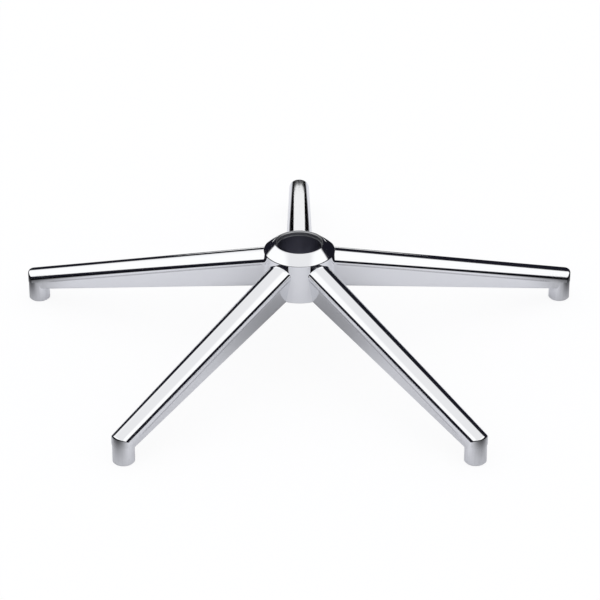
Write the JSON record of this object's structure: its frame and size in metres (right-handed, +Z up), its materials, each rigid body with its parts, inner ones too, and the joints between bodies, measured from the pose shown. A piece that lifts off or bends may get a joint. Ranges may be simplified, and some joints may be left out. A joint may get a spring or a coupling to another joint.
{
  "type": "office chair five star base",
  "caption": "Polished cast aluminium star base for a swivel office chair: a hub with a tapered column seat, crowned sloping arms, and a caster socket in the boss at each arm's end.",
  "frame": {"origin": "on the hub axis, at the level where the column taper has its top diameter", "axes": "+Z up along the hub axis, +Y along the first arm, which points away from the camera in the picture"},
  "size_m": [0.6296, 0.6001, 0.1248],
  "materials": {
    "polished_aluminium": "mirror polished outside, plain machined seat and sockets, cast grain under the arms"
  },
  "bodies": {
    "root": {"base_casting": "polished_aluminium"}
  },
  "joints": []
}
